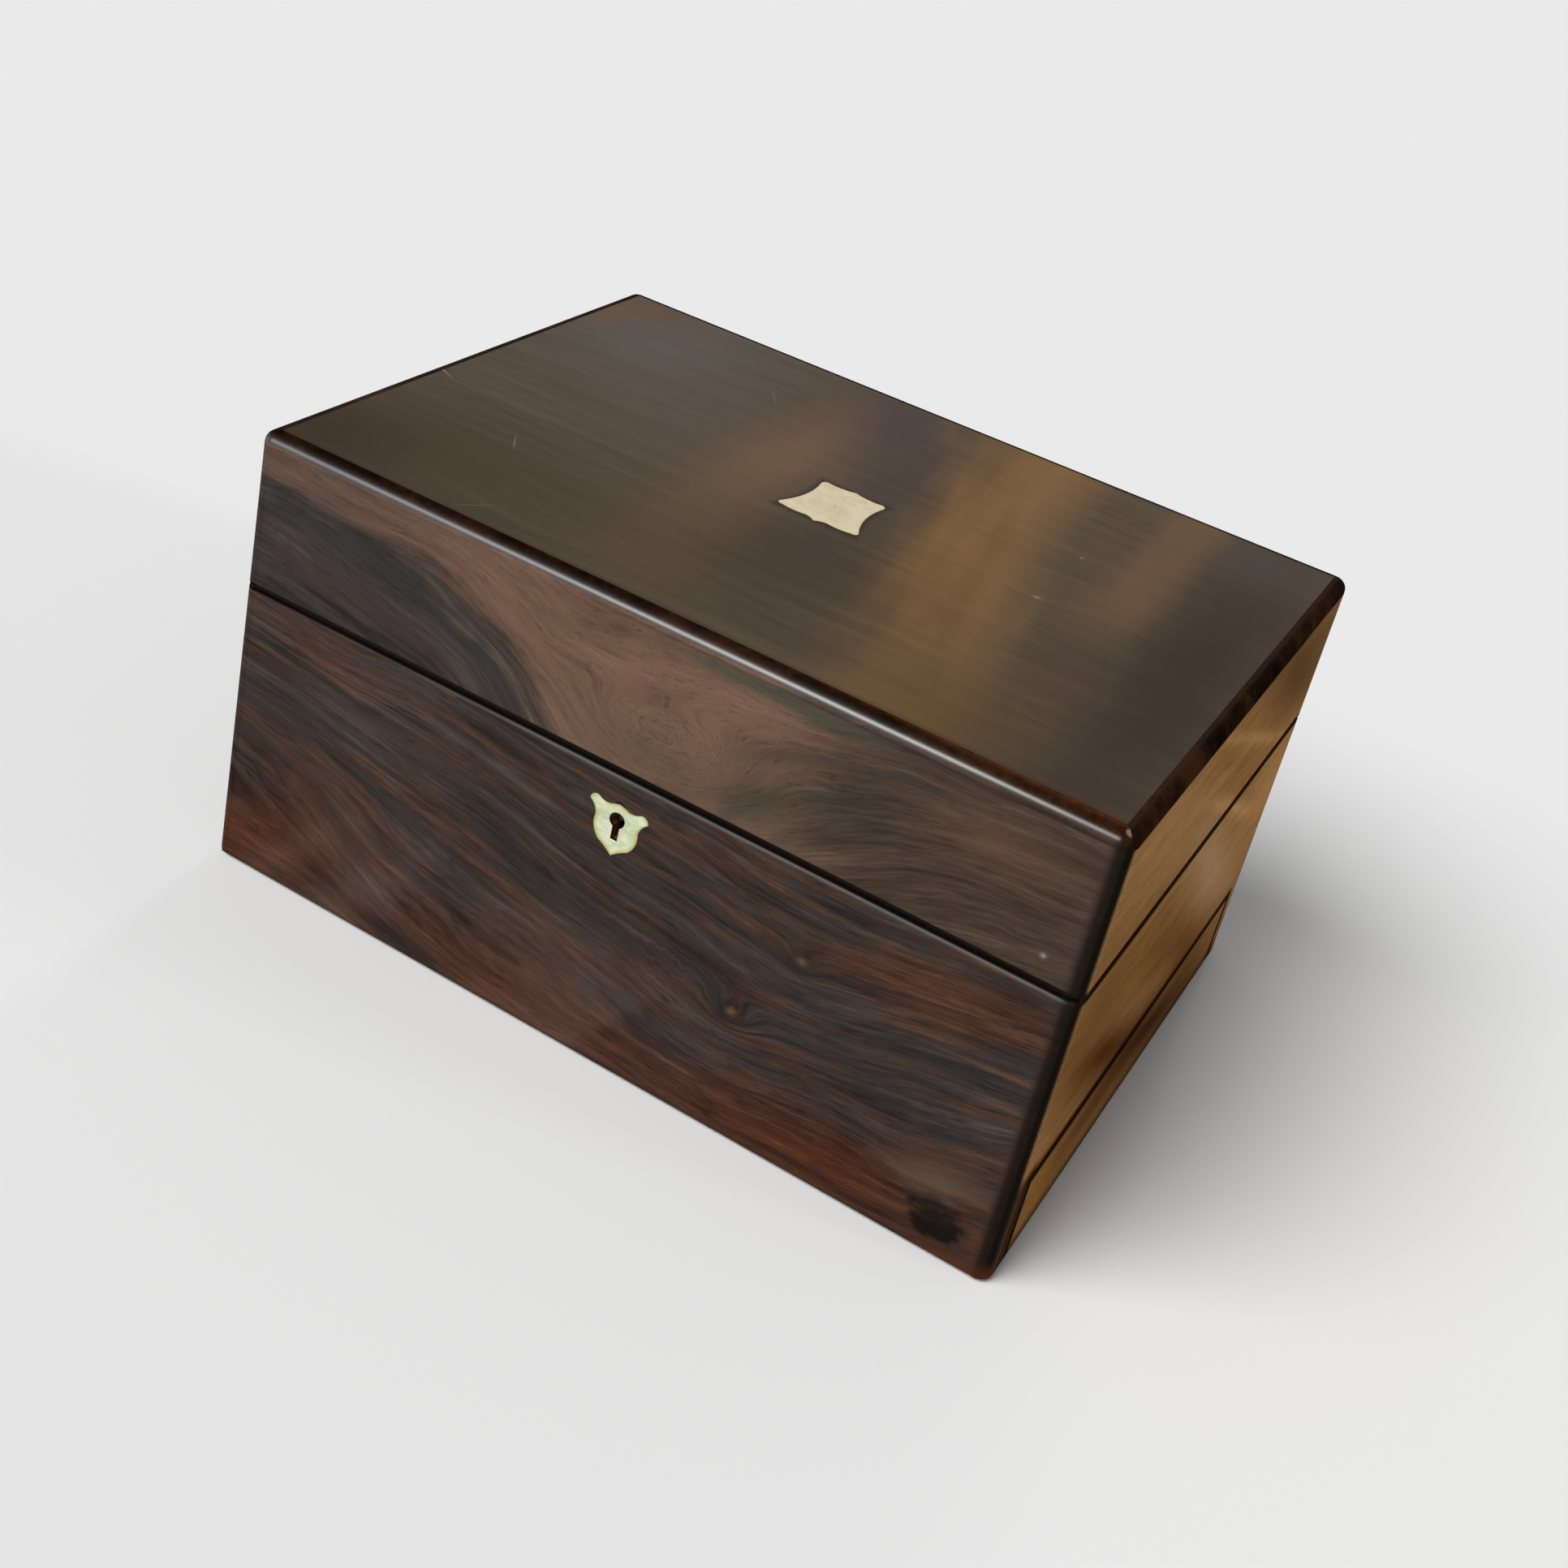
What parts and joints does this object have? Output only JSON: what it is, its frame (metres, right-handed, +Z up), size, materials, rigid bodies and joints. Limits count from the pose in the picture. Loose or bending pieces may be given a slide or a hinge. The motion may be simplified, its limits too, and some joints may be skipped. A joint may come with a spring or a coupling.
{
  "type": "toiletry box",
  "caption": "Small rosewood toiletry box with rounded edges, shell escutcheon and lid tablet, hinged lid with mirror, lift-out tray, box lock and flush side drawer.",
  "frame": {"origin": "on the table, under the middle of the case, at the underside of the baize", "axes": "+X along the front to the right, +Y from front to back, +Z up"},
  "size_m": [0.305, 0.2253, 0.165],
  "materials": {
    "rosewood": "french polish, glossy",
    "carcase_wood": "waxed mahogany, satin",
    "shell": "polished mother of pearl",
    "brass": "aged, satin",
    "velvet": "silk velvet, deep red",
    "baize": "green wool baize",
    "mirror": "silvered glass"
  },
  "bodies": {
    "base": {"base_front": "rosewood", "base_back": "rosewood", "base_left": "rosewood", "base_right": "rosewood", "base_corner_edging": "rosewood", "base_bottom": "carcase_wood", "drawer_guides": "carcase_wood", "compartment_floor": "carcase_wood", "liner_front": "carcase_wood", "liner_back": "carcase_wood", "liner_left": "carcase_wood", "liner_right": "carcase_wood", "tray_ledges": "carcase_wood", "baize_pad": "baize", "compartment_lining": "velvet", "lock_case": "brass", "lock_plate": "brass", "lock_pin": "brass", "lock_spring": "brass", "lock_screws": "brass", "hinge_left_base_leaf": "brass", "hinge_right_base_leaf": "brass", "hinge_pins": "brass", "hinge_screws_base": "brass", "drawer_spring": "brass", "escutcheon": "shell"},
    "lid": {"lid_top": "rosewood", "lid_front": "rosewood", "lid_back": "rosewood", "lid_left": "rosewood", "lid_right": "rosewood", "lid_corner_edging": "rosewood", "lid_edging_front": "rosewood", "lid_edging_back": "rosewood", "lid_edging_left": "rosewood", "lid_edging_right": "rosewood", "mirror_frame": "rosewood", "cartouche": "shell", "lid_lining": "velvet", "mirror_glass": "mirror", "mirror_studs": "brass", "hinge_left_lid_leaf": "brass", "hinge_right_lid_leaf": "brass", "hinge_screws_lid": "brass", "link_plate": "brass", "link_screws": "brass"},
    "lock_bolt": {"lock_bolt": "brass"},
    "drawer": {"drawer_front": "rosewood", "drawer_sides": "carcase_wood", "drawer_end": "carcase_wood", "drawer_floor": "carcase_wood", "drawer_lining": "velvet"},
    "drawer_pin": {"drawer_pin": "brass"},
    "tray": {"tray_front": "carcase_wood", "tray_back": "carcase_wood", "tray_ends": "carcase_wood", "tray_floor": "carcase_wood", "tray_dividers": "carcase_wood", "tray_lining": "velvet"}
  },
  "joints": [
    {"name": "lid_hinge", "type": "hinge", "parent": "base", "child": "lid", "pos_m": [0, 0.1116, 0.1085], "axis": [-1, 0, 0], "range_deg": [0, 100]},
    {"name": "lock_slide", "type": "slide", "parent": "base", "child": "lock_bolt", "axis": [1, 0, 0], "range_m": [0, 0.004]},
    {"name": "drawer_slide", "type": "slide", "parent": "base", "child": "drawer", "axis": [1, 0, 0], "range_m": [0, 0.15]},
    {"name": "drawer_pin_slide", "type": "slide", "parent": "base", "child": "drawer_pin", "axis": [0, 0, 1], "range_m": [-0.008, 0]},
    {"name": "tray_lift", "type": "slide", "parent": "base", "child": "tray", "axis": [0, 0, 1], "range_m": [0, 0.036]}
  ]
}
